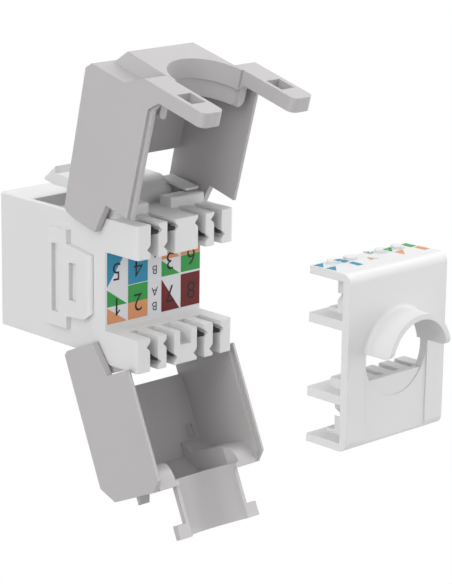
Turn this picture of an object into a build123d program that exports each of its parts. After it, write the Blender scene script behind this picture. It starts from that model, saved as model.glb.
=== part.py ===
from build123d import *
import math
import os

os.makedirs("parts", exist_ok=True)

# Keystone jack with a tool-less wiring end, all sizes in mm.
# X runs out of the wire end, Y across, Z up. X = 0 is the panel's rear face, against which
# the latch snaps, and Y = Z = 0 is the middle of the panel opening.

# Places along X
nose_x = -7.53            # front face of the shell
seam_x = 8.72             # the shell ends and the wiring block begins
label_x = 11.32           # face of the colour label between the two rows
label_thick = 0.12

# Front shell
body_half = 7.25
body_top = 8.3
body_bottom = -7.9
shell_wall = 0.95

# Panel latch: a sprung arm that bends over the roof
latch_half = 5.2
latch_thick = 1.05
latch_bend = 2.7
latch_bend_x = 6.0

# Plug opening, with the two steps for the plug's latch
plug_half = 5.95
plug_top = 4.3
plug_bottom = -2.6
plug_depth = 12.35
latch_slots = ((3.15, 1.5), (1.6, 3.0))

# Wiring block and its two rows of towers
row_half = body_half + 0.05
row_low = 4.6
row_high = 8.5
row_length = 5.44
slot_root = 1.85
slot_width = 1.2
outer_tower = 1.86
second_tower = 1.3
vee_depth = 0.52

# Forked blades that lie across the slots
blade_tilt = 42.0
blade_mid = 6.65
blade_thick = 0.4
blade_short = 1.24        # tower front to blade front
blade_root = 1.6          # wide part of the blade behind the label plane
blade_fit = 0.03
neck_half = 0.42
tail_half = 0.3
tail_offset = 0.5

# Circuit board and the insert that holds the spring contacts
board_thick = 1.0
board_rear_x = seam_x - 1.3
board_front_x = board_rear_x - board_thick
board_tail = 0.6
inner_fit = 0.05
wire_wide = 0.4
wire_thick = 0.3
wire_pitch = 1.02
wire_z = 5.2

# Clearances between the block, the wire cap and the jaws
side_fit = 0.1
leg_fit = 0.12
lap_fit = 0.1

# Wire cap, drawn seated
cap_half = row_half + side_fit
top_leg = 0.83
mid_leg = 1.0
cap_high = row_high + leg_fit + top_leg
cap_plate = 0.95
cap_gap = 0.31            # tower fronts to the cap plate
cap_inner_x = label_x + row_length + cap_gap
cap_front_x = cap_inner_x + cap_plate
leg_tip_x = label_x + 1.05
cap_hole = 4.65
hood_wall = 0.6
hood_outer = 4.75
hood_inner = hood_outer - hood_wall
hood_reach = 3.3
hood_low = 0.65
hood_corner = 0.8
hood_blend = 0.45
hole_flat = -2.4
rib_fit = 0.1
rib_depth = 2.65
rib_step = 3.8
rib_step_high = 0.45
pip_radius = 0.72
pip_high = 0.28
cap_travel = 31.0

# Hinged jaws, drawn closed
jaw_inner = cap_half + side_fit
jaw_wall = 0.8
jaw_outer = jaw_inner + jaw_wall
jaw_lap = jaw_inner + 0.4
hinge_x = 6.82
hinge_z = 9.0
pin_radius = 0.5
pin_fit = 0.05
pin_tip = jaw_inner + 0.45
upper_open = 75.1
lower_open = 66.1
cable_radius = 4.9
collar_wall = 1.0
collar_step = 0.35        # the collar is wider than the hole in the end
arm_inner = 5.2
arm_reach = 14.5
tongue_inner = 4.6
tongue_wall = 0.45
tongue_reach = 18.3
channel_half = 4.4

towers_x = label_x + row_length
blade_front = towers_x - blade_short
plug_end_x = nose_x + plug_depth
slot_centres = [
    side * (row_half - outer_tower - slot_width / 2 - step * (slot_width + second_tower))
    for side, step in ((-1, 0), (-1, 1), (1, 1), (1, 0))
]
wire_rows = [(n - 3.5) * wire_pitch for n in range(8)]


def block(x0, x1, y0, y1, z0, z1):
    size = Box(x1 - x0, y1 - y0, z1 - z0)
    return Pos((x0 + x1) / 2, (y0 + y1) / 2, (z0 + z1) / 2) * size


def side_prism(points, y0, y1):
    face = make_face(Polyline([(x, y0, z) for x, z in points], close=True))
    return extrude(face, amount=y1 - y0, dir=(0, 1, 0))


def end_prism(points, x0, x1):
    face = make_face(Polyline([(x0, y, z) for y, z in points], close=True))
    return extrude(face, amount=x1 - x0, dir=(1, 0, 0))


def flat_plate(points, thick):
    face = make_face(Polyline([(x, y, -thick / 2) for x, y in points], close=True))
    return extrude(face, amount=thick, dir=(0, 0, 1))


def rod_x(radius, x0, x1):
    return Pos((x0 + x1) / 2, 0, 0) * Rot(0, 90, 0) * Cylinder(radius, x1 - x0)


def rod_y(radius, y0, y1, x, z):
    return Pos(x, (y0 + y1) / 2, z) * Rot(90, 0, 0) * Cylinder(radius, y1 - y0)


def both_sides(shape):
    return shape + mirror(shape, about=Plane.XZ)


def from_label(points):
    return [(label_x + x, z) for x, z in points]


# Front shell: plug opening, panel latch, side plates and hinge pins

def plug_cavity():
    cut = block(nose_x - 1, plug_end_x, -plug_half, plug_half, plug_bottom, plug_top)
    for half, drop in latch_slots:
        cut += block(nose_x - 1, plug_end_x, -half, half, plug_bottom - drop, plug_top)
    return cut


def side_plate():
    outline = [(-9.8, -5.6), (-9.8, 6.05), (-6.2, 6.1), (-6.2, 4.5), (-2.1, 3.87)]
    outline += [(-2.1, -3.05), (-3.2, -3.9), (-6.2, -4.1), (-6.2, -5.55)]
    plate = side_prism(from_label(outline), body_half - 0.25, body_half + 0.7)
    rear = plate.edges().filter_by(Axis.Z).sort_by(Axis.X)[-2:]
    plate = fillet(rear.sort_by(Axis.Y)[-1], 0.6)
    plate -= block(seam_x, label_x, body_half - 1, row_half + 0.03, -9, 9)
    plate -= block(label_x - 8.8, label_x - 7.7, body_half + 0.15, jaw_outer, -3.9, 4.2)
    plate -= block(label_x - 5.7, label_x - 4.5, body_half + 0.15, jaw_outer, -2.05, 2.4)
    return plate


def panel_latch():
    half = latch_half
    bend_z = body_top + 0.15
    top = bend_z + latch_bend
    low = top - latch_thick
    arm = [(-1.93, low + 0.35), (-1.93, low + 0.6), (0, 12.3), (0, top + 0.3)]
    arm += [(latch_bend_x, top), (latch_bend_x, low), (-0.28, low)]
    shape = side_prism(arm, -half, half)
    bend = rod_y(latch_bend, -half, half, latch_bend_x, bend_z)
    bend -= rod_y(latch_bend - latch_thick, -half - 1, half + 1, latch_bend_x, bend_z)
    far = latch_bend_x + latch_bend
    shape += bend & block(latch_bend_x, far + 1, -half - 1, half + 1, bend_z, top + 1)
    shape += block(far - latch_thick, far, -half, half, body_top - 0.7, bend_z)
    wing = [(-4.5, top - 0.3), (-0.05, top - 1.0), (-0.05, top - 1.3), (-4.5, top - 0.65)]
    wing = side_prism(from_label(wing), half - 0.3, 6.9)
    return shape + both_sides(wing)


def hinge_pins(sign):
    ear_half = 0.95
    ear = block(hinge_x - ear_half, hinge_x + ear_half, 5.9, body_half, 7.6, hinge_z)
    ear += rod_y(ear_half, 5.9, body_half, hinge_x, hinge_z)
    ear += rod_y(pin_radius, 6.5, pin_tip, hinge_x, hinge_z)
    if sign < 0:
        ear = mirror(ear, about=Plane.XY)
    return both_sides(ear)


def cavity_box(x0, x1, fit):
    half = body_half - shell_wall - fit
    top = body_top - 1.1 - fit
    low = body_bottom + 0.7 + fit
    return block(x0, x1, -half, half, low, top)


def front_housing():
    shell = block(nose_x, seam_x, -body_half, body_half, body_bottom, body_top)
    shell = fillet(shell.edges().filter_by(Axis.X), 0.25)
    shell -= block(-2.2, 4.7, -6.75, 6.75, 6.9, body_top + 1)
    shell -= plug_cavity()
    shell -= block(nose_x + 2.65, plug_end_x, -4.75, 4.75, plug_top - 0.1, 6.1)
    shell -= cavity_box(plug_end_x - 0.1, seam_x + 1, 0)
    hook = [(-1.7, -7.5), (-1.7, -8.1), (-0.28, -8.75), (0, -8.75), (0, -7.5)]
    shell += side_prism(hook, -4.0, 4.0)
    shell += both_sides(side_plate())
    shell += panel_latch()
    shell += hinge_pins(1)
    shell += hinge_pins(-1)
    return shell


# Wiring block: two rows of towers with V grooves for the blades

def lean_of(row, y):
    return -row * math.copysign(1, y)


def blade_outline(row, y, grow):
    side = -lean_of(row, y) * row
    half = (slot_width / 2 + vee_depth - 0.12) / math.cos(math.radians(blade_tilt)) + grow
    neck = neck_half + grow
    root = label_x - blade_root - grow
    foot = board_rear_x + 0.5 - grow
    tip = board_front_x - board_tail - grow
    tail_in = tail_offset - tail_half - grow
    tail_out = tail_offset + tail_half + grow
    front = blade_front + grow
    outline = [(front, -half), (front, half), (root, half), (root, neck), (foot + blade_thick, neck)]
    outline += [(foot + blade_thick, tail_out), (tip, tail_out), (tip, tail_in), (foot, tail_in)]
    outline += [(foot, -neck), (root, -neck), (root, -half)]
    return [(x, side * across) for x, across in outline]


def placed_blade(shape, row, y):
    return Pos(0, y, row * blade_mid) * Rot(lean_of(row, y) * blade_tilt, 0, 0) * shape


def blade_pocket(row, y, fit):
    return placed_blade(flat_plate(blade_outline(row, y, fit), blade_thick + 2 * fit), row, y)


def idc_contact(row, y):
    blade = flat_plate(blade_outline(row, y, 0), blade_thick)
    tip = blade_front + 0.1
    slit = [(tip, 0.62), (tip - 0.85, 0.14), (tip - 3.1, 0.14)]
    slit += [(x, -half) for x, half in reversed(slit)]
    return placed_blade(blade - flat_plate(slit, blade_thick + 1), row, y)


def tower_row(row):
    towers = block(label_x - label_thick, towers_x, -row_half, row_half, row_low, row_high)
    towers = fillet(towers.edges().filter_by(Axis.Z).sort_by(Axis.X)[-2:], 0.45)
    root = label_x + slot_root
    half = slot_width / 2
    rise = (half + vee_depth) * math.tan(math.radians(blade_tilt))
    for y in slot_centres:
        towers -= block(root, towers_x + 1, y - half, y + half, row_low - 1, row_high + 1)
        ramp = [(root - 1.1, row_high + 0.1), (root + 0.1, row_high + 0.1), (root + 0.1, row_high - 1.3)]
        towers -= side_prism(ramp, y - half, y + half)
        for edge in (-1, 1):
            wall = y + edge * (half - 0.02)
            z = blade_mid + edge * lean_of(row, y) * row * rise
            vee = [(wall, z - vee_depth), (wall + edge * vee_depth, z), (wall, z + vee_depth)]
            towers -= end_prism(vee, root, towers_x + 1)
    if row < 0:
        towers -= block(root, towers_x + 1, -0.85, 0.85, row_low - 1, row_low + 1.75)
        towers = mirror(towers, about=Plane.XY)
    return towers


def wiring_block():
    face_x = label_x - label_thick
    body = block(seam_x, face_x, -row_half, row_half, body_bottom - 0.45, body_top + 0.15)
    body += cavity_box(board_rear_x, seam_x + 0.1, inner_fit)
    body -= block(board_rear_x - 1, board_rear_x + 0.4, -5.2, 5.2, -6.0, 6.0)
    body += tower_row(1) + tower_row(-1)
    lug = block(label_x - 0.95, label_x + 0.9, 1.7, 6.85, body_top - 0.1, 9.7)
    front_top = lug.edges().filter_by(Axis.Y).sort_by(Axis.Z)[-2:].sort_by(Axis.X)[-1]
    body += both_sides(fillet(front_top, 0.3))
    for row in (1, -1):
        for y in slot_centres:
            body -= blade_pocket(row, y, blade_fit)
    return body


def colour_label():
    half = row_half - 0.1
    return block(label_x - label_thick, label_x, -half, half, -3.95, row_low - 0.05)


# Inner pieces of the socket

def wire_space(y, x0, x1):
    half_y = wire_wide / 2
    half_z = wire_thick / 2
    return block(x0, x1, y - half_y, y + half_y, wire_z - half_z, wire_z + half_z)


def circuit_board():
    board = cavity_box(board_front_x, board_rear_x, inner_fit)
    for row in (1, -1):
        for y in slot_centres:
            board -= blade_pocket(row, y, blade_fit)
    for y in wire_rows:
        board -= wire_space(y, board_front_x - 1, board_rear_x + 1)
    return board


def contact_insert():
    shape = cavity_box(plug_end_x, board_front_x, inner_fit)
    shape += block(nose_x + 4.65, plug_end_x + 0.1, -4.65, 4.65, plug_top + 0.05, 6.05)
    for y in wire_rows:
        shape -= wire_space(y, nose_x, board_front_x + 1)
    for row in (1, -1):
        for y in slot_centres:
            shape -= blade_pocket(row, y, 0.2)
    return shape


def spring_contact(y):
    start = (board_rear_x + 0.2, y, wire_z)
    turn = (nose_x + 1.65, y, wire_z)
    end = (nose_x + 9.85, y, 1.75)
    path = FilletPolyline(start, turn, end, radius=0.5)
    section = Plane(origin=start, x_dir=(0, 1, 0), z_dir=(-1, 0, 0)) * Rectangle(wire_wide, wire_thick)
    return sweep(section, path=path)


# Upper jaw: two walls, a roof, an end plate with the cable cut-out, and two window arms

def upper_outline(edge):
    outline = [(-5.35, 9.9), (-5.5, 9.0), (-5.5, 4.85), (-1.75, 3.88), (-1.75, edge), (11.5, edge)]
    outline += [(12.8, -1.2), (12.8, 4.65), (12.75, 10.2), (11.9, 11.05), (-4.6, 10.5), (-5.1, 10.3)]
    return from_label(outline)


def upper_arm():
    outline = [(12.1, 0.4), (12.1, 4.65), (12.75, 4.65), (arm_reach, 1.65), (arm_reach, -8.1)]
    outline += [(12.8, -8.1), (12.8, -0.4)]
    arm = side_prism(from_label(outline), arm_inner, jaw_outer)
    arm = fillet(arm.edges().filter_by(Axis.X).sort_by(Axis.Z)[:2], 0.9)
    return arm - block(label_x + 12, label_x + arm_reach + 1, arm_inner + 0.5, jaw_outer - 0.6, -5.5, -3.0)


def cable_collar():
    near, far = label_x + 9.95, label_x + 12.3
    outer = cable_radius + collar_wall
    low = 0.25
    collar = rod_x(outer, near, far) & block(near, far, -outer, outer, low, outer)
    foot = block(near, far, cable_radius, outer + 0.5, low, 1.6)
    foot = fillet(foot.edges().filter_by(Axis.Z).sort_by(Axis.X)[:2].sort_by(Axis.Y)[-1], 0.8)
    return collar + both_sides(foot)


def cable_cut():
    cut = rod_x(cable_radius, label_x + 9, label_x + 16)
    wide = cable_radius + collar_step
    side = wide + 0.1
    cut += rod_x(wide, label_x + 9, label_x + 12.1)
    facet = [(4.6, 2.5), (side, 0.9), (side, -1), (-side, -1), (-side, 0.9), (-4.6, 2.5)]
    return cut + end_prism(facet, label_x + 9, label_x + 12.1)


def raised_end():
    base = [(5.3, 0.25), (5.6, 9.95), (-5.6, 9.95), (-5.3, 0.25)]
    face = [(5.2, 0.25), (4.91, 8.45), (-4.91, 8.45), (-5.2, 0.25)]
    low = make_face(Polyline([(label_x + 12.4, y, z) for y, z in base], close=True))
    high = make_face(Polyline([(label_x + arm_reach, y, z) for y, z in face], close=True))
    return loft([low, high])


def hinge_bores(z):
    return both_sides(rod_y(pin_radius + pin_fit, jaw_inner - 0.1, pin_tip + 0.05, hinge_x, z))


def upper_jaw_closed():
    side = side_prism(upper_outline(-0.25), jaw_inner, jaw_lap)
    side += side_prism(upper_outline(0.25), jaw_lap, jaw_outer)
    shape = both_sides(side + upper_arm())
    roof = [(0.45, 9.85), (0.45, 10.66), (11.9, 11.05), (12.75, 10.2), (12.75, 9.4), (12.1, 9.4), (11.7, 9.85)]
    shape += side_prism(from_label(roof), -jaw_inner, jaw_inner)
    shape += block(label_x + 12.1, label_x + 12.75, -jaw_inner, jaw_inner, 0.25, 9.8)
    shape += raised_end() + cable_collar()
    return shape - cable_cut() - hinge_bores(hinge_z)


# Lower jaw: two walls, a floor with a sloping end, two cable cheeks and a trough-shaped tongue

def lower_outline(edge):
    outline = [(-5.5, -10.3), (-5.85, -9.7), (-5.85, -4.85), (-1.75, -3.8), (-1.75, edge), (11.2, edge)]
    outline += [(12.35, -1.35), (12.35, -8.55), (10.45, -10.5)]
    return from_label(outline)


def cable_cheek():
    top = -1.1
    outline = [(7.8, -9.7), (9.34, -8.2), (9.5, top), (12.0, top), (12.0, -8.0), (10.5, -9.7)]
    cheek = side_prism(from_label(outline), channel_half, jaw_inner)
    crest = cheek.edges().filter_by(Axis.Y).sort_by(Axis.Z)[-2:].sort_by(Axis.X)[0]
    return fillet(crest, 2.3)


def tongue():
    outer = tongue_inner + tongue_wall
    start, end = label_x + 11.7, label_x + tongue_reach
    tube = rod_x(outer, start, end) - rod_x(tongue_inner, start - 1, end + 1)
    tube &= block(start, end, -outer, outer, -outer, -1.5)
    ear = block(end - 1.66, end, channel_half, 6.2, -2.2, -1.5)
    return tube + both_sides(ear - rod_x(tongue_inner, start, end + 1))


def hook_tab():
    tab = [(12.0, -5.35), (13.35, -5.35), (13.35, -5.2), (12.35, -4.75), (12.0, -4.75)]
    return side_prism(from_label(tab), arm_inner + 0.9, jaw_outer - 0.65)


def lower_jaw_closed():
    side = side_prism(lower_outline(-0.5), jaw_inner, jaw_lap + lap_fit)
    side += side_prism(lower_outline(-0.05), jaw_lap + lap_fit, jaw_outer)
    shape = both_sides(side)
    floor = [(0.0, -9.65), (0.0, -10.38), (10.45, -10.5), (12.35, -8.55), (12.35, -1.1)]
    floor += [(11.7, -1.1), (11.7, -7.67), (9.6, -9.65)]
    shape += side_prism(from_label(floor), -jaw_inner, jaw_inner)
    shape += both_sides(cable_cheek())
    shape -= rod_x(tongue_inner + tongue_wall, label_x + 6, label_x + 11.7)
    shape -= rod_x(tongue_inner, label_x + 6, label_x + 13)
    shape += tongue() + both_sides(hook_tab())
    shape -= both_sides(block(label_x + 6.1, label_x + 7.7, 5.8, 6.9, -9.9, -9.5))
    return shape - hinge_bores(-hinge_z)


def swing(shape, angle, z):
    return Pos(hinge_x, 0, z) * Rot(0, angle, 0) * Pos(-hinge_x, 0, -z) * shape


# Wire cap: four legs, ribs that press the wires down, a cable hole and its hood

def cap_shell():
    shell = block(leg_tip_x, cap_front_x, -cap_half, cap_half, -cap_high, cap_high)
    shell = fillet(shell.edges().filter_by(Axis.Y).sort_by(Axis.X)[-2:], 1.0)
    leg_top = row_low - leg_fit
    gaps = (
        (leg_top, cap_high - top_leg), (mid_leg - leg_top, leg_top - mid_leg),
        (top_leg - cap_high, -leg_top),
    )
    for z0, z1 in gaps:
        shell -= block(leg_tip_x - 1, cap_inner_x, -cap_half - 1, cap_half + 1, z0, z1)
    return shell


def wire_rib(row, y):
    half = slot_width / 2 - rib_fit
    reach = cap_inner_x + 0.1
    leg_faces = (row_low - leg_fit, row_high + leg_fit)
    low, high = sorted(row * z for z in leg_faces)
    rib = block(cap_inner_x - rib_depth, reach, y - half, y + half, low - 0.1, high + 0.1)
    rib += block(cap_inner_x - rib_step, reach, y - half, y + half, low - 0.1, low + rib_step_high)
    slit = placed_blade(flat_plate([(0, -1.9), (60, -1.9), (60, 1.9), (0, 1.9)], 0.6), row, y)
    return rib - (slit & block(label_x, cap_inner_x, -9, 9, row * blade_mid - 1.3, row * blade_mid + 1.3))


def cap_ribs():
    ribs = Part()
    for y in slot_centres:
        ribs += wire_rib(1, y) + wire_rib(-1, y)
    for n in range(5):
        y = (n - 2) * 2.45
        ribs += block(cap_inner_x - 3.1, cap_inner_x + 0.1, y - 0.75, y + 0.75, -3.6, -2.45)
    return ribs


def cap_hood():
    end = cap_front_x + hood_reach
    hood = rod_x(hood_outer, cap_inner_x, end) & block(cap_inner_x, end, -6, 6, hood_low, 6)
    hood += block(cap_inner_x + 0.2, cap_front_x, -6, 6, hood_low, 6)
    rings = hood.edges().filter_by(GeomType.CIRCLE)
    base = [ring for ring in rings if abs(ring.center().X - cap_front_x) < 0.01]
    hood = fillet(base, hood_blend)
    hood -= rod_x(hood_inner, cap_inner_x - 1, end + 1)
    return fillet(hood.edges().filter_by(Axis.Y).group_by(Axis.X)[-1], hood_corner)


def wire_cap_seated():
    end = cap_front_x + hood_reach
    shape = cap_shell() + cap_ribs() + cap_hood()
    inside = label_x + row_length - 3.4
    shape -= rod_x(cap_hole, inside, end + 1) & block(inside, end + 1, -6, 6, hole_flat, hood_low)
    shape -= rod_x(hood_inner, inside, end + 1) & block(inside, end + 1, -6, 6, 0, 6)
    shape -= block(cap_front_x - 0.12, end + 1, -4.7, 4.7, -cap_high - 1, hood_low)
    shape -= rod_x(cap_hole, cap_front_x - 0.22, end) & block(label_x, end, -6, 6, -6, hood_low)
    for y in slot_centres:
        shape += Pos(label_x + 1.9, y, cap_high) * Cylinder(pip_radius, 2 * pip_high)
    return shape


def save(shape, name):
    solids = shape.solids()
    print(name, len(solids), "solid", round(shape.volume, 2), "mm3")
    piece = solids[0] if len(solids) == 1 else Compound(children=list(solids))
    piece.label = name
    export_step(piece, f"parts/{name}.step")


save(front_housing(), "front_housing")
save(wiring_block(), "wiring_block")
save(colour_label(), "colour_label")
save(circuit_board(), "circuit_board")
save(contact_insert(), "contact_insert")
for number, y in enumerate(wire_rows, 1):
    save(spring_contact(y), f"spring_contact_{number}")
for number, (row, y) in enumerate([(row, y) for row in (1, -1) for y in slot_centres], 1):
    save(idc_contact(row, y), f"idc_contact_{number}")
save(swing(upper_jaw_closed(), -upper_open, hinge_z), "upper_jaw")
save(swing(lower_jaw_closed(), lower_open, -hinge_z), "lower_jaw")
save(Pos(cap_travel, 0, 0) * wire_cap_seated(), "wire_cap")
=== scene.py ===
# %% [markdown]
# A keystone jack is the data socket that snaps into a wall plate. This one stands open, as
# before wiring: two grey jaws apart, a white block of slotted towers between them, and the
# cap that presses the wires in held in front.
# Its pieces could be modelled again in Blender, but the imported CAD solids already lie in
# their true places. So this lesson loads them, gives each the surface of its real material,
# adds two small forms, and prints the wiring colours.

# %% Load the solids
import bpy
import numpy as np
from mathutils import Matrix, Vector


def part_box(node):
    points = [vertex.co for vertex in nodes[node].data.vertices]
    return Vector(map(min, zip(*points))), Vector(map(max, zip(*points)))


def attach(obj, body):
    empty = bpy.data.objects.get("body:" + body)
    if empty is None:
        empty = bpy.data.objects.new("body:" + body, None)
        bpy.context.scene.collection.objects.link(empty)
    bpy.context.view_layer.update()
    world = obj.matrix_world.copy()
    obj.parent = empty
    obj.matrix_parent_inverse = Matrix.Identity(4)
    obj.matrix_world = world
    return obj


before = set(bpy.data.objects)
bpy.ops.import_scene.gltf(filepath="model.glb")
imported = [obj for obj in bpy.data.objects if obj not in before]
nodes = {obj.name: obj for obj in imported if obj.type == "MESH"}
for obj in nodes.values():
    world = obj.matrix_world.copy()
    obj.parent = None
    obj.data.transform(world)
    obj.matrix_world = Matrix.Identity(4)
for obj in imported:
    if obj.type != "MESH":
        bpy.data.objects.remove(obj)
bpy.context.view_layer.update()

# %% [markdown]
# A jack is a small thing, so every size here is in millimetres, and it turns to metres only
# when a mesh or a lamp is made. The print needs two faces to lie on. Their places could be
# copied from the CAD source, but reading them from the solids keeps them right if it changes.

# %% Measure the faces that carry print
MM = 0.001
PER_METRE = 1000
pip_radius = 0.72
pip_high = 0.28
label_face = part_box("colour_label")[1][0] / MM
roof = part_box("wire_cap")[1][2] / MM - pip_high
print("label face at x =", round(label_face, 2), "mm, cap roof at z =", round(roof, 2), "mm")

# %% [markdown]
# The camera stands where the photograph's did: 272 mm from the jack, a little above it and
# far to one side. It could be aimed with a Track To constraint, but a constraint can't hold
# the slight roll of the picture. So the three rows give its right, up and backward ways.

# %% Place the camera
photo_width = 452
focal_length = 2373.0  # in pixels of the photograph
camera_place = Vector((206.93, -176.45, 70.47))
right = Vector((0.69015, 0.72355, 0.01328))
up = Vector((-0.19891, 0.17202, 0.96480))
turn = Matrix((right, up, right.cross(up))).transposed()

camera = bpy.data.objects.new("camera", bpy.data.cameras.new("camera"))
camera.matrix_world = Matrix.Translation(camera_place * MM) @ turn.to_4x4()
camera.data.sensor_fit = "HORIZONTAL"
camera.data.sensor_width = 36.0
camera.data.lens = camera.data.sensor_width * focal_length / photo_width
camera.data.clip_start = 0.01
bpy.context.scene.collection.objects.link(camera)
bpy.context.scene.camera = camera
bpy.context.scene.view_settings.view_transform = "Standard"
print("lens", round(camera.data.lens, 1), "mm")

# %% [markdown]
# A colour is picked as a hex number, the way that a screen shows it, but light adds up in
# linear values. So every hex number goes through one conversion. A material is a tree of
# nodes, and one helper adds a node and wires it up, which keeps each recipe short to read.

# %% Two helpers for colours and nodes
def linear(hex_colour):
    """The linear RGBA of a six-digit sRGB hex colour."""
    values = np.array([int(hex_colour[i:i + 2], 16) for i in (0, 2, 4)]) / 255
    low = values / 12.92
    high = ((values + 0.055) / 1.055) ** 2.4
    return (*np.where(values <= 0.04045, low, high), 1.0)


def add(tree, kind, inputs=None, **settings):
    """Adds one node, sets its properties, and fills or links its inputs."""
    node = tree.nodes.new(kind)
    for name, value in settings.items():
        setattr(node, name, value)
    for name, value in (inputs or {}).items():
        if isinstance(value, bpy.types.NodeSocket):
            tree.links.new(value, node.inputs[name])
        else:
            node.inputs[name].default_value = value
    return node


print("mid grey", [round(v, 3) for v in linear("808080")[:3]])

# %% [markdown]
# The photograph's ground is pure white. A lamp could burn it out, but that would burn out the
# white shell too. A Light Path node does it without any light: rays from the camera, from
# gloss and through glass meet plain white, and all other rays meet the real surface. The sky
# behind it is low, so that the insides of the jaws stay in shade.

# %% White ground and low sky
def shown_white(tree, shader, output):
    """Lets camera, gloss and glass rays see white, while the surface itself stays as shader."""
    path = add(tree, "ShaderNodeLightPath")
    seen = add(tree, "ShaderNodeMath", {0: path.outputs["Is Camera Ray"],
                                        1: path.outputs["Is Transmission Ray"]}, operation="MAXIMUM")
    seen = add(tree, "ShaderNodeMath", {0: seen.outputs[0],
                                        1: path.outputs["Is Glossy Ray"]}, operation="MAXIMUM")
    white = add(tree, "ShaderNodeEmission", {"Color": (1, 1, 1, 1), "Strength": 1.0})
    mix = add(tree, "ShaderNodeMixShader", {0: seen.outputs[0], 1: shader, 2: white.outputs[0]})
    tree.links.new(mix.outputs[0], output.inputs["Surface"])


sky_strength = 0.2
world = bpy.data.worlds.new("studio")
bpy.context.scene.world = world
world.use_nodes = True
tree = world.node_tree
tree.nodes.clear()
sky = add(tree, "ShaderNodeBackground", {"Color": linear("FFFFFF"), "Strength": sky_strength})
output = add(tree, "ShaderNodeOutputWorld")
shown_white(tree, sky.outputs[0], output)
print("sky of strength", sky_strength)

# %% [markdown]
# A studio lights white goods with large soft boxes all round. Nine square lamps stand for
# them, each 0.4 m or so from the jack and as wide as a forearm is long. One big dome would be
# simpler, but it lights every side alike, and then the steps and grooves of the white
# mouldings vanish. Each lamp's power was found by rendering it alone and comparing the faces.

# %% Nine soft lamps
lamp_aim = (20, 0, 0)
lamp_wide = 320
lamp_level = 0.93  # brings all lamps down together, so that no white face clips
lamps = {
    "back_right": ((50, 320, 300), 1.08),
    "back_high": ((-320, 0, 300), 0.56),
    "high": ((20, 0, 420), 0.48),
    "right_low": ((230, 350, 60), 0.88),
    "front": ((430, 0, 60), 0.5),
    "left_high": ((60, -320, 300), 0.63),
    "left_mid": ((180, -330, 200), 0.3),
    "left_low": ((0, -420, 60), 0.53),
    "left_front": ((200, -380, 60), 0.28),
}


def soft_lamp(name, place, target, size, power):
    """A square lamp in mm that looks at target."""
    lamp = bpy.data.objects.new(name, bpy.data.lights.new(name, "AREA"))
    lamp.data.size = size * MM
    lamp.data.energy = power
    lamp.location = Vector(place) * MM
    lamp.rotation_euler = (Vector(target) - Vector(place)).to_track_quat("-Z", "Y").to_euler()
    bpy.context.scene.collection.objects.link(lamp)
    return lamp


for name, (place, power) in lamps.items():
    soft_lamp(name, place, lamp_aim, lamp_wide, lamp_level * power)
print(len(lamps), "lamps")

# %% [markdown]
# A pale table lies far below. In the picture it is as white as the sky, but it is a grey
# card to the lamps, and sends about half of their light back up under the jaws.

# %% Table
floor_down, floor_half = -0.12, 9.0  # in metres
corners = np.array([(-1, -1), (1, -1), (1, 1), (-1, 1)]) * floor_half
floor = bpy.data.objects.new("floor", bpy.data.meshes.new("floor"))
floor.data.from_pydata([(x, y, floor_down) for x, y in corners.tolist()], [], [(0, 1, 2, 3)])
bpy.context.scene.collection.objects.link(floor)

paper = bpy.data.materials.new("table_top")
paper.use_nodes = True
tree = paper.node_tree
tree.nodes.clear()
flat = add(tree, "ShaderNodeBsdfDiffuse", {"Color": linear("C0C0C0")})
output = add(tree, "ShaderNodeOutputMaterial")
shown_white(tree, flat.outputs[0], output)
floor.data.materials.append(paper)
print("floor at z =", round(PER_METRE * floor_down), "mm")

# %% [markdown]
# The white pieces are injection-moulded polycarbonate, the grey jaws moulded ABS, and the
# insulator inside is black nylon. The mould was spark-eroded, which leaves a grain of under a
# tenth of a millimetre, so highlights are wide and soft. Thick places cool last and sink a
# little, so a face is never quite flat. Every moulded edge has a small radius. Real bevels
# would treble the faces of the solids, so a Bevel node rounds only the shading.

# %% Moulded plastics
sink_mm = 5.56  # from one sink mark to the next
drift_mm = 10.5  # how far the colour takes to drift
plastic_gloss = 0.45  # a little under a polished face, because the grain breaks it up


def moulded(name, hex_colour, roughness, grain_mm, grain_depth, sink_depth, edge_mm, shade):
    """Moulded plastic. Its height is a fine grain plus slow sink marks, its roughness follows
    the grain, its colour drifts between two near hex values, and its edges are rounded."""
    material = bpy.data.materials.new(name)
    material.use_nodes = True
    tree = material.node_tree
    shader = tree.nodes["Principled BSDF"]
    place = add(tree, "ShaderNodeTexCoord").outputs["Object"]
    grain = add(tree, "ShaderNodeTexNoise",
                {"Vector": place, "Scale": PER_METRE / grain_mm, "Detail": 3.0})
    sink = add(tree, "ShaderNodeTexNoise",
               {"Vector": place, "Scale": PER_METRE / sink_mm, "Detail": 1.0})
    soft = add(tree, "ShaderNodeBevel", {"Radius": edge_mm * MM}, samples=4)
    slow = add(tree, "ShaderNodeBump", {"Height": sink.outputs["Fac"], "Distance": sink_depth * MM,
                                        "Normal": soft.outputs["Normal"]})
    fine = add(tree, "ShaderNodeBump", {"Height": grain.outputs["Fac"], "Distance": grain_depth * MM,
                                        "Strength": 0.5, "Normal": slow.outputs["Normal"]})
    tree.links.new(fine.outputs["Normal"], shader.inputs["Normal"])
    drift = add(tree, "ShaderNodeTexNoise",
                {"Vector": place, "Scale": PER_METRE / drift_mm, "Detail": 2.0})
    colour = add(tree, "ShaderNodeMix",
                 {0: drift.outputs["Fac"], 6: linear(shade), 7: linear(hex_colour)}, data_type="RGBA")
    tree.links.new(colour.outputs[2], shader.inputs["Base Color"])
    gloss = add(tree, "ShaderNodeMapRange", {"Value": grain.outputs["Fac"],
                                             "To Min": roughness - 0.06, "To Max": roughness + 0.06})
    tree.links.new(gloss.outputs["Result"], shader.inputs["Roughness"])
    shader.inputs["Specular IOR Level"].default_value = plastic_gloss
    return material


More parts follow.
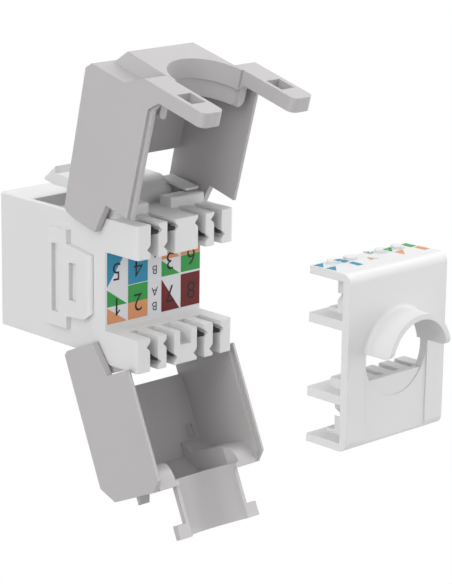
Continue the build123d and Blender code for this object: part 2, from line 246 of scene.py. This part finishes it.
white_plastic = moulded("white_polycarbonate", "D5D5D5", 0.45, 0.07, 0.004, 0.02, 0.08, "D1D1D2")
grey_plastic = moulded("grey_abs", "B2B0B0", 0.42, 0.08, 0.005, 0.02, 0.1, "AEACAC")
black_plastic = moulded("black_insulator", "232325", 0.45, 0.08, 0.004, 0.01, 0.06, "29292B")
print("moulded plastics made")

# %% [markdown]
# The forked blades are stamped from tinned bronze, and the spring contacts are drawn wire with
# gold plating. A press or a die leaves lines along the metal, which stretch each highlight.
# An anisotropic shader could do that, but on small ends it is hard to steer, so noise that is
# stretched along X makes both the lines and the changes of gloss. Real lines are some
# hundredths of a millimetre apart, and they are drawn at about that. The tin is given a dark
# grey, far darker than bright real tin, as painted shade for the deep slots that the blades
# stand in.

# %% Metals
line_stretch = 14.0  # how much longer than wide a drawing line is


def drawn_metal(name, hex_colour, roughness, line_mm):
    """Stamped or drawn metal. Its height and its roughness follow a noise whose X is divided
    by line_stretch, so fine lines run along X."""
    material = bpy.data.materials.new(name)
    material.use_nodes = True
    tree = material.node_tree
    shader = tree.nodes["Principled BSDF"]
    place = add(tree, "ShaderNodeTexCoord").outputs["Object"]
    along = add(tree, "ShaderNodeMapping", {"Vector": place, "Scale": (1 / line_stretch, 1, 1)})
    lines = add(tree, "ShaderNodeTexNoise",
                {"Vector": along.outputs[0], "Scale": PER_METRE / line_mm, "Detail": 2.0})
    bump = add(tree, "ShaderNodeBump",
               {"Height": lines.outputs["Fac"], "Distance": 0.002 * MM, "Strength": 0.6})
    gloss = add(tree, "ShaderNodeMapRange", {"Value": lines.outputs["Fac"],
                                             "To Min": roughness - 0.07, "To Max": roughness + 0.07})
    tree.links.new(bump.outputs["Normal"], shader.inputs["Normal"])
    tree.links.new(gloss.outputs["Result"], shader.inputs["Roughness"])
    shader.inputs["Base Color"].default_value = linear(hex_colour)
    shader.inputs["Metallic"].default_value = 1.0
    return material


# Painted shade: this dark grey is far below bright real tin, and stands for the shade of the deep slots
# around the blades.
tin_darkened_as_slot_shade = drawn_metal("tinned_bronze_painted_shade", "5A5A5E", 0.42, 0.05)
gold = drawn_metal("gold_plated_bronze", "D9B25A", 0.24, 0.04)
print("metals made")

# %% [markdown]
# The circuit board is glass cloth in resin under green lacquer. The lacquer is poured and
# glossy, and the weave shows through it as a faint change of tone every 0.4 mm. Two crossed
# sets of threads would be truer, but the board is shut in the shell, so one set of diagonal
# bands is enough for the cloth.

# %% Lacquered board
weave_scale = 900.0  # bands about 0.4 mm apart, as the threads of common glass cloth


def lacquered_board():
    """Green lacquer. Colour and height follow slightly bent diagonal bands."""
    material = bpy.data.materials.new("solder_mask")
    material.use_nodes = True
    tree = material.node_tree
    shader = tree.nodes["Principled BSDF"]
    place = add(tree, "ShaderNodeTexCoord").outputs["Object"]
    weave = add(tree, "ShaderNodeTexWave",
                {"Vector": place, "Scale": weave_scale, "Distortion": 0.6}, bands_direction="DIAGONAL")
    colour = add(tree, "ShaderNodeMix",
                 {0: weave.outputs["Fac"], 6: linear("1B5A33"), 7: linear("23693D")}, data_type="RGBA")
    bump = add(tree, "ShaderNodeBump", {"Height": weave.outputs["Fac"], "Distance": 0.003 * MM})
    tree.links.new(colour.outputs[2], shader.inputs["Base Color"])
    tree.links.new(bump.outputs["Normal"], shader.inputs["Normal"])
    shader.inputs["Roughness"].default_value = 0.28
    return material


board_green = lacquered_board()
print("board lacquer made")

# %% [markdown]
# The label is a white polyester film, and its inks are screen printed. The cap's roof is pad
# printed with the same inks. An ink coat is about a hundredth of a millimetre thick. It dries
# to a satin face with a faint orange peel and a slightly cloudy tone, so it never looks like
# a flat patch of colour. Each ink could have a recipe of its own, but they differ in nothing
# except colour, so one recipe serves the film and all of them.

# %% Film and inks
peel_mm = 0.167  # width of the orange peel's bumps
ink_gloss = 0.2  # satin inks reflect less than plastic


def film(name, hex_colour, roughness, cloud_mm, hex_tone):
    """Printed film or ink. Its tone drifts between two near hex values, and its height is a
    faint orange peel."""
    material = bpy.data.materials.new(name)
    material.use_nodes = True
    tree = material.node_tree
    shader = tree.nodes["Principled BSDF"]
    place = add(tree, "ShaderNodeTexCoord").outputs["Object"]
    cloud = add(tree, "ShaderNodeTexNoise",
                {"Vector": place, "Scale": PER_METRE / cloud_mm, "Detail": 3.0})
    colour = add(tree, "ShaderNodeMix",
                 {0: cloud.outputs["Fac"], 6: linear(hex_tone), 7: linear(hex_colour)}, data_type="RGBA")
    peel = add(tree, "ShaderNodeTexNoise",
               {"Vector": place, "Scale": PER_METRE / peel_mm, "Detail": 1.0})
    bump = add(tree, "ShaderNodeBump", {"Height": peel.outputs["Fac"], "Distance": 0.002 * MM})
    tree.links.new(colour.outputs[2], shader.inputs["Base Color"])
    tree.links.new(bump.outputs["Normal"], shader.inputs["Normal"])
    shader.inputs["Roughness"].default_value = roughness
    shader.inputs["Specular IOR Level"].default_value = ink_gloss
    return material


label_film = film("white_film", "D4D4D7", 0.4, 2.5, "D0D0D4")
ink_tones = {
    "blue": ("2E86A6", "2A7F9E"),
    "green": ("349246", "308C42"),
    "orange": ("CD9064", "C8895D"),
    "brown": ("661A1C", "601719"),
    "black": ("1C1C1E", "171719"),
}
inks = {name: film(f"{name}_ink", tone, 0.5, 2.0, low) for name, (tone, low) in ink_tones.items()}
print(len(inks), "inks")

# %% [markdown]
# A solid comes with a plain material in its slot. A copy of the solid could be dressed
# instead, but putting the surface into the slot changes nothing in the mesh, so each piece
# stays exactly as the CAD made it.

# %% Give the solids their surfaces
surfaces = {
    "front_housing": white_plastic,
    "wiring_block": white_plastic,
    "wire_cap": white_plastic,
    "upper_jaw": grey_plastic,
    "lower_jaw": grey_plastic,
    "colour_label": label_film,
    "circuit_board": board_green,
    "contact_insert": black_plastic,
}
# Every blade gets the darkened tin, whose dark grey is painted shade for the slots.
for name, solid in nodes.items():
    surface = surfaces.get(name) or (gold if name.startswith("spring") else tin_darkened_as_slot_shade)
    for slot in solid.material_slots:
        slot.material = surface
print("surfaces given to", len(nodes), "solids")

# %% [markdown]
# Two small forms are added to the solids. Each blade is a fork whose two prongs grip a wire,
# and the prongs reach nearly to the mouth of the slot. Under the block is a pair of lugs that
# mirrors the pair on top. Both are flat outlines given a thickness, and a Solidify modifier
# could do that. But the blades lean four ways, so it is simpler to carry every outline to its
# place as one array and close the prisms by numbers.

# %% A helper for flat pieces with a thickness
def prisms(name, outlines, places, axes, thick, surface):
    """One mesh of thin prisms. Corner (a, b) of prism i lies at places[i] + a * axes[i][0] +
    b * axes[i][1], and it is doubled by half the thickness to either side along axes[i][2].
    Outlines run counter-clockwise, so the faces look outwards."""
    flat = places[:, None] + np.einsum("ncs,nsd->ncd", outlines, axes[:, :2])
    lift = thick / 2 * axes[:, None, 2]
    corners = np.stack((flat - lift, flat + lift), axis=1)
    numbers = np.arange(corners[..., 0].size).reshape(corners.shape[:3])
    low, high = numbers[:, 0], numbers[:, 1]
    walls = np.stack((low, np.roll(low, -1, 1), np.roll(high, -1, 1), high), axis=-1).reshape(-1, 4)
    mesh = bpy.data.meshes.new(name)
    mesh.from_pydata((corners.reshape(-1, 3) * MM).tolist(), [],
                     low[:, ::-1].tolist() + high.tolist() + walls.tolist())
    mesh.materials.append(surface)
    piece = bpy.data.objects.new(name, mesh)
    bpy.context.scene.collection.objects.link(piece)
    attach(piece, "root")
    return piece


print("prisms ready")

# %% [markdown]
# A prong narrows from its inner side towards its tip, and its outer corner is cut off, as a
# press tool leaves it. The blades lean by 42 degrees, each quarter of the block its own way,
# so that a wire laid straight across a slot is gripped at two places along it.

# %% Blade tips
blade_mid, blade_lean, blade_thick = 6.65, np.radians(42.0), 0.39
blade_end, tip_end, tip_cut, tip_overlap = 15.52, 16.5, 0.1, 0.02
prong_inner, prong_tip, prong_outer = 0.64, 0.86, 1.26
blade_y = np.tile((-4.84, -2.34, 2.34, 4.84), 2)
blade_row = np.repeat((1, -1), 4)

prong = np.array([
    (blade_end - tip_overlap, prong_inner),
    (tip_end, prong_tip),
    (tip_end, prong_outer - tip_cut),
    (tip_end - tip_cut, prong_outer),
    (blade_end - tip_overlap, prong_outer),
])
fork = np.stack((prong, (prong * (1, -1))[::-1]))
none, one = np.zeros(8), np.ones(8)
lean = -blade_row * np.sign(blade_y) * blade_lean
blade_axes = np.stack((
    np.stack((one, none, none), axis=-1),
    np.stack((none, np.cos(lean), np.sin(lean)), axis=-1),
    np.stack((none, -np.sin(lean), np.cos(lean)), axis=-1),
), axis=1)
blade_places = np.stack((none, blade_y, blade_row * blade_mid), axis=-1)
# The prongs are drawn in the darkened tin, whose dark grey is painted shade for the deep slots.
prisms("blade_tips", np.tile(fork, (8, 1, 1)), np.repeat(blade_places, 2, axis=0),
       np.repeat(blade_axes, 2, axis=0), blade_thick, tin_darkened_as_slot_shade)
print(2 * len(blade_y), "prongs")

# %% [markdown]
# The lugs under the block are short bars that run across the jack, each with its lower front
# edge cut off so that a finger slides over it. The section is drawn once, seen from the side,
# and placed twice.

# %% Lower lugs
lug_rear, lug_front, lug_root, lug_low, lug_cut = 10.4, 12.2, -8.3, -9.55, 0.25
lug_mid, lug_wide = 4.275, 5.15
lug = np.array([
    (lug_rear, lug_root),
    (lug_rear, lug_low),
    (lug_front - lug_cut, lug_low),
    (lug_front, lug_low + lug_cut),
    (lug_front, lug_root),
])
lug_places = np.array([(0, -lug_mid, 0), (0, lug_mid, 0)])
lug_axes = np.array([[(1, 0, 0), (0, 0, 1), (0, -1, 0)]] * 2)
prisms("lower_lugs", np.stack((lug, lug)), lug_places, lug_axes, lug_wide, white_plastic)
print("2 lugs")

# %% [markdown]
# The colour code shows which wire goes where. An image texture would be the usual way, but a
# patch with straight edges stays sharper as a flat face of its own. The sheets lie 0.012 mm
# above the face they are printed on, which is about the thickness of the ink.

# %% A helper for sheets of ink
ink_thick = 0.012


def on_label(y, z):
    """Places on the label's printed face, from Y and Z."""
    return np.stack(np.broadcast_arrays(label_face + ink_thick, y, z), axis=-1)


def ink_sheet(name, patches, to_space, body):
    """One mesh of flat outlines. Each patch is (ink, corners), and to_space turns the corners'
    two rows of numbers in mm into places, so the sheet is the union of those flat polygons."""
    used = sorted({ink for ink, outline in patches})
    sizes = [len(outline) for ink, outline in patches]
    corners = np.concatenate([np.asarray(outline, float) for ink, outline in patches])
    faces = [list(range(end - size, end)) for size, end in zip(sizes, np.cumsum(sizes))]
    sheet = bpy.data.objects.new(name, bpy.data.meshes.new(name))
    sheet.data.from_pydata((to_space(*corners.T) * MM).tolist(), [], faces)
    for ink in used:
        sheet.data.materials.append(inks[ink])
    sheet.data.polygons.foreach_set("material_index", [used.index(ink) for ink, outline in patches])
    sheet.data.update()
    bpy.context.scene.collection.objects.link(sheet)
    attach(sheet, body)
    return sheet


print("ink lies", ink_thick, "mm high")

# %% [markdown]
# The label has four columns, one for each slot of a row, and a white strip for the letters
# between the second and the third. A whole box is a solid wire colour, and a box cut from
# corner to corner is that colour with white, for the striped wire of the pair.

# %% Colours on the label
left_1, right_1, left_2, right_2 = -7.14, -4.14, -3.98, -0.98
left_3, right_3, left_4, right_4 = 1.14, 3.98, 4.16, 7.16
label_low = -3.92
wiring_patches = [
    ("blue", [(left_1, 4.45), (left_1, 0.42), (right_1, 4.45)]),
    ("green", [(left_1, 0.12), (left_1, -1.9), (right_1, -1.9)]),
    ("orange", [(left_1, -1.98), (left_1, label_low), (right_1, label_low)]),
    ("blue", [(left_2, 4.5), (left_2, 0.22), (right_2, 0.22), (right_2, 4.5)]),
    ("green", [(left_2, 0.14), (left_2, -1.92), (right_2, -1.92), (right_2, 0.14)]),
    ("orange", [(left_2, -1.92), (left_2, label_low), (right_2, label_low), (right_2, -1.92)]),
    ("orange", [(left_3, 4.5), (left_3, 2.3), (right_3, 2.3)]),
    ("green", [(left_3, 2.22), (left_3, 0.28), (right_3, 0.28)]),
    ("brown", [(left_3, 0.0), (left_3, label_low), (right_3, label_low)]),
    ("orange", [(left_4, 4.5), (left_4, 2.33), (right_4, 2.33), (right_4, 4.5)]),
    ("green", [(left_4, 2.3), (left_4, 0.3), (right_4, 0.3), (right_4, 2.3)]),
    ("brown", [(left_4, 0.06), (left_4, label_low), (right_4, label_low), (right_4, 0.06)]),
]
ink_sheet("wiring_colours", wiring_patches, on_label, "root")
print(len(wiring_patches), "patches on the label")

# %% [markdown]
# The cap's roof has a shorter code, one row for each of the two wiring schemes. Four round
# pips stand on the roof, and the soft printing pad wraps over them, so a patch that reaches a
# pip goes on across its top. There it lands a little to one side, because the pad meets the
# pip first. X is measured with the cap on its seat, and cap_shift takes it to its open place.

# %% Colours on the cap's roof
cap_shift = 31.0
pip_places = [(13.22, y) for y in (-4.84, -2.34, 2.34, 4.84)]
pad_slip = np.array((0.74, -0.71))


def on_roof(x, y):
    """Places on the cap's roof, from X and Y with the cap on its seat."""
    return np.stack(np.broadcast_arrays(x + cap_shift, y, roof + ink_thick), axis=-1)


def on_pips(x, y):
    """Places on the tops of the pips, from the same X and Y."""
    return on_roof(x, y) + (0, 0, pip_high)


cap_patches = [
    ("blue", [(12.6, -7.2), (13.95, -7.1), (12.6, -5.75)]),
    ("blue", [(14.27, -7.15), (15.68, -6.98), (14.31, -5.7)]),
    ("blue", [(12.45, -4.22), (14.0, -4.05), (13.86, -3.15), (12.45, -3.28)]),
    ("blue", [(14.27, -3.75), (15.71, -3.8), (15.68, -2.95), (14.21, -3.02)]),
    ("green", [(12.71, 2.95), (14.06, 3.2), (12.59, 4.5)]),
    ("orange", [(14.26, 3.19), (15.7, 3.32), (14.15, 4.68)]),
    ("green", [(12.56, 6.03), (14.04, 6.15), (14.0, 7.0), (12.53, 6.95)]),
    ("orange", [(14.33, 6.3), (15.77, 6.35), (15.71, 7.22), (14.22, 7.1)]),
]
ink_sheet("cap_colours", cap_patches, on_roof, "wire_cap")
print(len(cap_patches), "patches on the cap")

# %% [markdown]
# The ink on a pip is the overlap of a patch and a circle. A boolean modifier would find it,
# but both outlines are flat and convex, so a short rule is enough: keep the corners of each
# that lie inside the other, add the points where their edges cross, and walk round them.

# %% Ink on the pips
angles = np.arange(24) * 2 * np.pi / 24
circle = pip_radius * np.column_stack((np.cos(angles), np.sin(angles)))


def cross(a, b):
    """The flat cross product of two arrays of directions."""
    return a[..., 0] * b[..., 1] - a[..., 1] * b[..., 0]


def inside(points, outline):
    """The points to the left of every edge of a counter-clockwise outline."""
    edges = np.roll(outline, -1, axis=0) - outline
    return points[(cross(edges, points[:, None] - outline) >= 0).all(axis=1)]


def overlap(first, second):
    """The overlap of two convex counter-clockwise outlines. Edge p + t * r of the first and
    edge q + u * s of the second cross where t and u both lie between 0 and 1."""
    p, q = first[:, None], second[None]
    r, s = np.roll(first, -1, axis=0)[:, None] - p, np.roll(second, -1, axis=0)[None] - q
    t, u = cross(q - p, s) / cross(r, s), cross(q - p, r) / cross(r, s)
    crossings = (p + t[..., None] * r)[(t > 0) & (t < 1) & (u > 0) & (u < 1)]
    points = np.concatenate((inside(first, second), inside(second, first), crossings))
    away = points - points.mean(axis=0) if len(points) else points
    return points[np.argsort(np.arctan2(away[:, 1], away[:, 0]))]


raised = [
    (ink, overlap(np.array(outline) + pad_slip, circle + centre))
    for ink, outline in cap_patches for centre in pip_places
]
raised = [(ink, outline) for ink, outline in raised if len(outline) > 2]
ink_sheet("pip_colours", raised, on_pips, "wire_cap")
print(len(raised), "patches reach a pip")

# %% [markdown]
# The numbers and letters are the plain wiring code. They are printed upside down, so that the
# wires can be read off with the jack turned over. Blender's own font is drawn as a text, made
# a mesh, and then moved to its place, so that the piece itself stays at the origin.

# %% A helper for printed signs
sign_lift = 0.01  # a sign is printed over the colours
stroke_thin = 0.007  # how far the edges of the strokes are drawn in, as a share of the size


def printed_sign(name, sign, size, place, across, upward, ink, body):
    """A flat letter, centred on place. across and upward are its reading and its upright way,
    and their cross product is the way that it faces."""
    text = bpy.data.curves.new(name, "FONT")
    text.body = sign
    text.size = size * MM
    text.align_x = "CENTER"
    text.align_y = "CENTER"
    text.offset = -stroke_thin * size * MM
    text.resolution_u = 4
    text.materials.append(inks[ink])
    draft = bpy.data.objects.new(name, text)
    mesh = bpy.data.meshes.new_from_object(draft)
    bpy.data.objects.remove(draft)
    face_out = Vector(across).cross(Vector(upward))
    axes = Matrix((Vector(across), Vector(upward), face_out)).transposed().to_4x4()
    mesh.transform(Matrix.Translation((Vector(place) + sign_lift * face_out) * MM) @ axes)
    letter = bpy.data.objects.new(name, mesh)
    bpy.context.scene.collection.objects.link(letter)
    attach(letter, body)
    return letter


print("signs lie", round(ink_thick + sign_lift, 3), "mm high")

# %% [markdown]
# Each number stands in its box, and the letters A and B stand for the two wiring schemes. The
# font's 1 is a bare stroke, so a small flag of ink is added to it.

# %% Signs on the label and the cap
number_size, scheme_size, cap_size = 3.0, 1.5, 1.6
over_face, upside_down = (0, -1, 0), (0, 0, -1)
number_places = {
    "5": (-5.75, 2.2), "4": (-2.46, 2.1), "3": (2.45, 2.1), "6": (5.75, 2.1),
    "1": (-5.7, -1.95), "2": (-2.46, -1.95), "7": (2.5, -1.8), "8": (5.8, -1.95),
}
scheme_places = [("A", 3.28), ("B", 1.37), ("A", -1.2), ("B", -2.96)]
for sign, (y, z) in number_places.items():
    printed_sign(f"number_{sign}", sign, number_size, on_label(y, z), over_face, upside_down,
                 "black", "root")
for number, (sign, z) in enumerate(scheme_places, 1):
    printed_sign(f"scheme_{number}", sign, scheme_size, on_label(0.1, z), over_face, upside_down,
                 "black", "root")
printed_sign("cap_scheme_b", "B", cap_size, on_roof(12.7, 1.0), (0, 1, 0), (-1, 0, 0),
             "green", "wire_cap")
printed_sign("cap_scheme_a", "A", cap_size, on_roof(14.6, -0.6), (0, 1, 0), (-1, 0, 0),
             "orange", "wire_cap")


def over_colours(y, z):
    """Places on the label just above the colour patches."""
    return on_label(y, z) + (0.008, 0, 0)


flag = [(-5.88, -2.98), (-5.62, -2.98), (-5.2, -2.6), (-5.2, -2.36)]
ink_sheet("number_1_flag", [("black", flag)], over_colours, "root")
print(len(number_places) + len(scheme_places) + 2, "printed signs")
